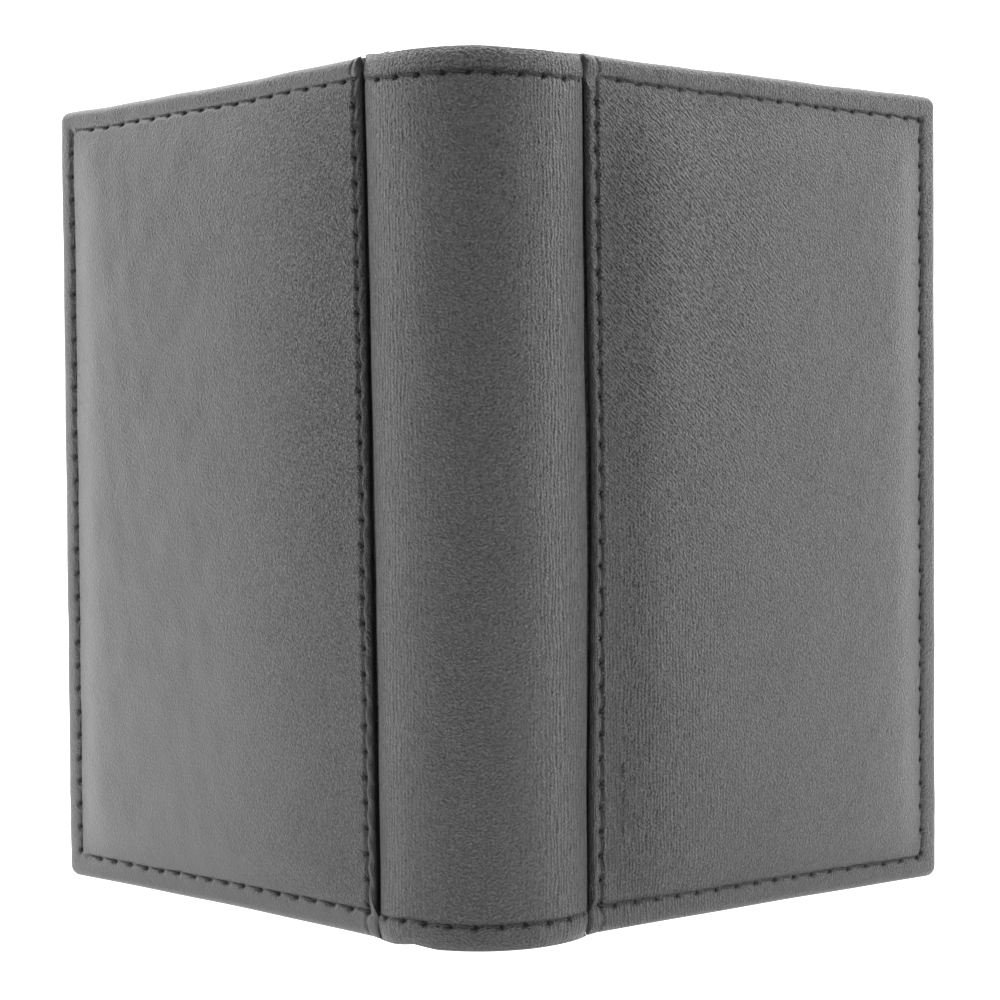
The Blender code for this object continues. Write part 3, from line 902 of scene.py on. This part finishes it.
def make_spine_skin():
    """The spine's leather, turned in over its head and foot, thinning towards the grooves."""
    lines = spine_lines()
    z_line, out_line, run = spine_profile()
    columns = round(2 * SPINE_HALF_ANGLE * SPINE_RADIUS / SPINE_COLUMN)
    share = np.linspace(0, 1, columns)
    layers, fields = [], []
    for inner in (False, True):
        z = np.repeat(z_line[:, None], columns, 1)
        angle = spine_end(-1, z) + (spine_end(1, z) - spine_end(-1, z)) * share
        arc = angle * SPINE_RADIUS
        surface = spine_surface(arc, z, lines)
        out = np.repeat(out_line[:, None], columns, 1)
        on_outside = smoothstep(out, 0.0, EDGE_RADIUS)
        out = out + (surface - EDGE_RADIUS) * on_outside
        if inner:
            back = np.maximum(out - LEATHER * (0.6 + 0.4 * smoothstep(surface, 0.2 * MM, 1.0 * MM)), -SKIN_BACK)
            back = np.minimum(back, SKIN_BACK)
            z = np.clip(z, LEATHER, HEIGHT - LEATHER)
            out = np.where(out_line[:, None] > 0, back, np.maximum(-SKIN_BACK, np.minimum(back, -SKIN_BACK * 0.98)))
        layers.append(spine_place(angle, out, z).reshape(-1, 3))
        hide = np.stack([arc, np.repeat(run[:, None], columns, 1), 0 * arc], -1).reshape(-1, 3)
        side_left = 1 - smoothstep(arc, -11 * MM, -3 * MM)
        side_right = smoothstep(arc, 3 * MM, 10 * MM)
        at_head = smoothstep(z, HEIGHT - 4.5 * MM, HEIGHT - 2.5 * MM)
        pebble = 0.22 + 0.16 * (1 - np.maximum(side_left, side_right)) + 0.25 * at_head
        streak = 0.06 + 0.20 * side_left + 0.36 * side_right
        fields.append({
            "hide": hide, "pebble": pebble.ravel(), "streak": streak.ravel(),
            "wrinkle": 0.0 * pebble.ravel(), "smooth": (0.3 + 0.3 * side_left).ravel(),
            # painted shade in the stitch pits, darker as they are deeper
            "pit": np.clip(sewn_pits(arc, z, lines) / PIT_SHADE_DEPTH, 0.0, 1.0).ravel(),
        })
    faces = sheet_faces(len(z_line), columns)
    obj = make_piece("spine_skin", np.concatenate(layers), faces, [SKIN], merge_fields(fields))
    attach(obj, "spine")
    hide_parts("spine_leather")

    def place(arc, out, z):
        return spine_place(arc / SPINE_RADIUS, out, z)

    def ground(arc, z):
        return spine_surface(np.asarray(arc), np.asarray(z), []) - SEAM_SINK - THREAD_SINK

    make_threads("spine_stitches", "spine", lines, place, ground)


# Fold strips

STRIP_RADIUS = 1.33 * MM
STRIP_THICKNESS = 0.2 * MM
STRIP_REACH = 3.4 * MM
STRIP_FOOT = 0.02 * MM
STRIP_PROUD = {-1: 0.42 * MM, 1: 0.22 * MM}


def make_fold_strip(cover):
    """The strip of leather that joins a cover to the spine behind the groove."""
    spine_out = np.array([cover.side * math.sin(SPINE_HALF_ANGLE), -math.cos(SPINE_HALF_ANGLE)])
    first = math.atan2(-spine_out[1], -spine_out[0])
    last = math.atan2(-cover.outward[1], -cover.outward[0])
    path = []
    for reach in np.linspace(STRIP_REACH, 0.0, 12):
        angle = cover.side * (SPINE_HALF_ANGLE - reach / SPINE_RADIUS)
        path.append((spine_place(angle, -STRIP_RADIUS, 0.0)[:2], spine_place(angle, 0.0, 0.0)[:2]))
    for share in np.linspace(0.0, 1.0, 8)[1:-1]:
        turn = first + (last - first) * share
        path.append((cover.axis + STRIP_RADIUS * np.array([math.cos(turn), math.sin(turn)]), cover.axis))
    for reach in np.linspace(0.0, STRIP_REACH, 12):
        path.append((cover.place(reach, -STRIP_RADIUS, 0.0)[:2], cover.place(reach, 0.0, 0.0)[:2]))
    middle = np.array([point for point, _ in path])
    away = middle - np.array([base for _, base in path])
    away /= np.linalg.norm(away, axis=1)[:, None]
    levels = np.linspace(STRIP_FOOT, HEIGHT + STRIP_PROUD[cover.side], 120)
    run = run_along(middle)
    layers = []
    for shift in (-0.5, 0.5):
        flat = middle + away * shift * STRIP_THICKNESS
        grid = np.concatenate(
            [np.repeat(flat[None], len(levels), 0), np.repeat(levels[:, None, None], len(flat), 1)], -1
        )
        layers.append(grid.reshape(-1, 3))
    faces = sheet_faces(len(levels), len(middle), flip=cover.side > 0)
    fields = merge_fields([plain_fields(*np.meshgrid(run, levels), shift=0.3, pebble=0.3, streak=0.5)] * 2)
    obj = make_piece(f"{cover.name}_fold_strip", np.concatenate(layers), faces, [SKIN, GROOVE_PAINTED_LIGHT], fields)
    # The face seen through the groove gets the lighter leather, painted light in the groove's shade
    for polygon in obj.data.polygons[:len(faces[0])]:
        polygon.material_index = 1
    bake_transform(obj)


# Inside

def make_sheet_piece(name, columns, rows, front, back, place, material, fields):
    """A closed sheet between two depths over a grid. place turns (u, depth, z) into the frame."""
    u, z = np.meshgrid(columns, rows)
    points = [place(u, face(u, z), z).reshape(-1, 3) for face in (front, back)]
    faces = sheet_faces(len(rows), len(columns))
    return make_piece(name, np.concatenate(points), faces, [material], merge_fields([fields(u, z)] * 2), sharp=60)


def make_lining(name, columns, place, fields):
    """The lining cloth of a cover or of the spine."""
    return make_sheet_piece(
        name, columns, np.linspace(LINING_INSET, HEIGHT - LINING_INSET, 160),
        lambda u, z: LINING_FACE + 0 * u, lambda u, z: LINING_FACE - LINING + 0 * u, place, CLOTH, fields,
    )


SLOT_LEFT = LINING_FOLD_SETBACK
SLOT_RIGHT = COVER_WIDTH - LINING_INSET
SPINE_LINING_HALF_ANGLE = 59.85


def open_share(slot, u, z):
    """1 where a card lies in the slot, and 0 along the seams round it."""
    across = smoothstep(u, SLOT_LEFT + SLOT_SEAM, SLOT_LEFT + SLOT_SEAM + SLOT_RAMP)
    across *= 1 - smoothstep(u, SLOT_RIGHT - SLOT_SEAM - SLOT_RAMP, SLOT_RIGHT - SLOT_SEAM)
    foot = SLOT_FEET[slot]
    return across * smoothstep(z, foot - SLOT_RAMP, foot)


def slot_back(slot, u, z):
    """How deep inside the mid plane a slot sheet's back lies, over the sheets behind it."""
    depth = LINING_FACE + 0 * u
    for behind in range(slot + 1):
        depth += LAYER_GAP + (CARD_ROOM - LAYER_GAP) * open_share(behind, u, z)
        if behind < slot:
            depth += SLOT_LEATHER
    return depth


def slot_front(slot, u, z):
    """How deep its front lies, with the hem folded back at the mouth and the crease pressed along it."""
    foot = SLOT_MOUTHS[slot] - SLOT_HEM_WIDTH
    thickness = SLOT_LEATHER + (SLOT_HEM - SLOT_LEATHER) * smoothstep(z, foot, foot + SLOT_HEM_RAMP)
    crease = 0.12 * MM * bell(z - (SLOT_MOUTHS[slot] - 1.6 * MM), 0.28 * MM)
    return slot_back(slot, u, z) + thickness - crease


def inside_depth(u, z):
    """How deep inside the mid plane the face that shows lies."""
    depth = LINING_FACE + 0 * u
    for slot, mouth in enumerate(SLOT_MOUTHS):
        depth = np.where(z < mouth, slot_front(slot, u, z), depth)
    return depth


def make_inside(cover):
    """A cover's card slots, its lining and the stitches that hold them."""
    def place(u, depth, z):
        return cover.place(u, -depth, z)

    way = -cover.side
    for slot, (name, mouth) in enumerate(zip(SLOT_NAMES, SLOT_MOUTHS)):
        columns = np.linspace(SLOT_LEFT, SLOT_RIGHT, 110)[::way]
        below, hem = np.linspace(LINING_INSET, mouth - 6 * MM, 110), np.linspace(mouth - 5.8 * MM, mouth, 26)
        obj = make_sheet_piece(
            f"{cover.name}_card_slot_{name}", columns, np.concatenate([below, hem]),
            partial(slot_front, slot), partial(slot_back, slot), place,
            SLOT_SKIN, partial(plain_fields, shift=0.4 + 0.05 * slot + 0.2 * cover.side),
        )
        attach(obj, cover.body)
        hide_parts(f"{cover.name}_slot_{name}")
    columns = np.linspace(LINING_FOLD_SETBACK, SLOT_RIGHT, 90)[::way]
    lining = make_lining(f"{cover.body}_lining_cloth", columns, place, plain_fields)
    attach(lining, cover.body)
    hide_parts(f"{cover.body}_lining")
    low, high = 2.3 * MM, HEIGHT - 2.2 * MM
    near, far = LINING_FOLD_SETBACK + 0.55 * MM, COVER_WIDTH - 1.75 * MM
    corners = [(near, high), (far, high), (far, low), (near, low), (near, high)]
    lines = [Line([a, b], 0.1 * MM) for a, b in zip(corners, corners[1:])]
    make_threads(f"{cover.body}_inside_stitches", cover.body, lines, place, inside_depth)


def make_spine_lining():
    columns = np.linspace(-SPINE_LINING_HALF_ANGLE, SPINE_LINING_HALF_ANGLE, 70)

    def place(angle, depth, z):
        return spine_place(np.radians(angle), -depth, z)

    def fields(angle, z):
        return plain_fields(np.radians(angle) * SPINE_RADIUS, z)

    obj = make_lining("spine_lining_cloth", columns[::-1], place, fields)
    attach(obj, "spine")
    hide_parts("spine_lining")


for one_cover in COVERS:
    make_cover_skin(one_cover)
    make_inside(one_cover)
    make_fold_strip(one_cover)
make_spine_skin()
make_spine_lining()

for node_name in ("spine_stiffener", "left_cover_board", "right_cover_board"):
    for material_slot in frame["nodes"][node_name].material_slots:
        material_slot.material = GREY_BOARD


# Studio

def make_floor():
    """A plain white floor, lit a little from within so that it reads as white as the photograph's ground."""
    mesh = bpy.data.meshes.new("floor")
    half = 6.0
    mesh.from_pydata([(-half, -half, 0), (half, -half, 0), (half, half, 0), (-half, half, 0)], [], [(0, 1, 2, 3)])
    s = Shader("white_floor", (0.6, 0.6, 0.6), 0.9)
    s.set("Emission Color", (1.0, 1.0, 1.0, 1.0))
    # Painted light: the floor glows from within, brightest round and behind the holder and fading to no glow in front,
    # a pool of light that also lights the holder from below
    near = s.node("ShaderNodeTexCoord").outputs["Object"]
    s.set("Emission Strength", s.grade(near, "Y", -0.26, -0.04, 0.0, 1.35))
    s.set("Specular IOR Level", 0.1)
    mesh.materials.append(s.material)
    add_object("floor", mesh)


def add_softbox(name, place, target, size, radiance):
    """A rectangular soft light that faces its target."""
    light = bpy.data.lights.new(name, "AREA")
    light.shape = "RECTANGLE"
    light.size, light.size_y = size
    light.energy = radiance * math.pi * size[0] * size[1]
    obj = add_object(name, light)
    obj.location = place
    obj.rotation_euler = (Vector(target) - Vector(place)).to_track_quat("-Z", "Y").to_euler()


def make_world(front, back):
    """White all round, and brighter behind the holder than in front of it."""
    world = bpy.data.worlds.new("studio")
    world.use_nodes = True
    tree = world.node_tree
    background = tree.nodes["Background"]
    background.inputs["Color"].default_value = (1.0, 1.0, 1.0, 1.0)
    way = tree.nodes.new("ShaderNodeTexCoord")
    split = tree.nodes.new("ShaderNodeSeparateXYZ")
    grade = tree.nodes.new("ShaderNodeMapRange")
    grade.interpolation_type = "SMOOTHSTEP"
    for key, value in (("From Min", -0.40), ("From Max", 0.60), ("To Min", front), ("To Max", back)):
        grade.inputs[key].default_value = value
    tree.links.new(way.outputs["Generated"], split.inputs[0])
    tree.links.new(split.outputs["Y"], grade.inputs["Value"])
    tree.links.new(grade.outputs["Result"], background.inputs["Strength"])
    bpy.context.scene.world = world


CAMERA_PLACE = (-6.379 * MM, -274.34 * MM, 61.843 * MM)
CAMERA_YAW = math.radians(1.336)
CAMERA_PITCH = math.radians(1.564)
CAMERA_ROLL = math.radians(-0.415)
CAMERA_LENS = 74.01


def make_camera():
    """The photograph's camera: yaw turns it to +X, pitch tips it down, and roll turns its picture."""
    forward = Vector((
        math.sin(CAMERA_YAW) * math.cos(CAMERA_PITCH),
        math.cos(CAMERA_YAW) * math.cos(CAMERA_PITCH),
        -math.sin(CAMERA_PITCH),
    ))
    level = forward.cross(Vector((0, 0, 1))).normalized()
    upright = level.cross(forward)
    right = math.cos(CAMERA_ROLL) * level + math.sin(CAMERA_ROLL) * upright
    up = math.cos(CAMERA_ROLL) * upright - math.sin(CAMERA_ROLL) * level
    camera = bpy.data.cameras.new("camera")
    camera.lens = CAMERA_LENS
    camera.sensor_width = 36.0
    camera.clip_start = 0.01
    obj = add_object("camera", camera)
    turn = Matrix((right, up, -forward)).transposed().to_4x4()
    obj.matrix_world = Matrix.Translation(CAMERA_PLACE) @ turn
    bpy.context.scene.camera = obj


make_floor()
make_world(front=0.04, back=2.6)
add_softbox("left_softbox", (-0.55, 0.14, 0.14), (-0.02, -0.01, 0.04), (0.3, 0.4), 1.3)
add_softbox("right_softbox", (0.53, 0.18, 0.16), (0.02, -0.01, 0.04), (0.3, 0.4), 2.0)
add_softbox("upper_right_softbox", (0.38, -0.12, 0.42), (0.03, 0.0, 0.09), (0.25, 0.15), 3.0)
add_softbox("top_softbox", (0.0, 0.12, 0.6), (0.0, 0.0, 0.05), (1.8, 0.5), 2.5)
add_softbox("front_softbox", (0.06, -0.36, 0.5), (0.0, -0.02, 0.08), (0.35, 0.18), 3.5)
make_camera()
bpy.context.scene.view_settings.view_transform = "Standard"
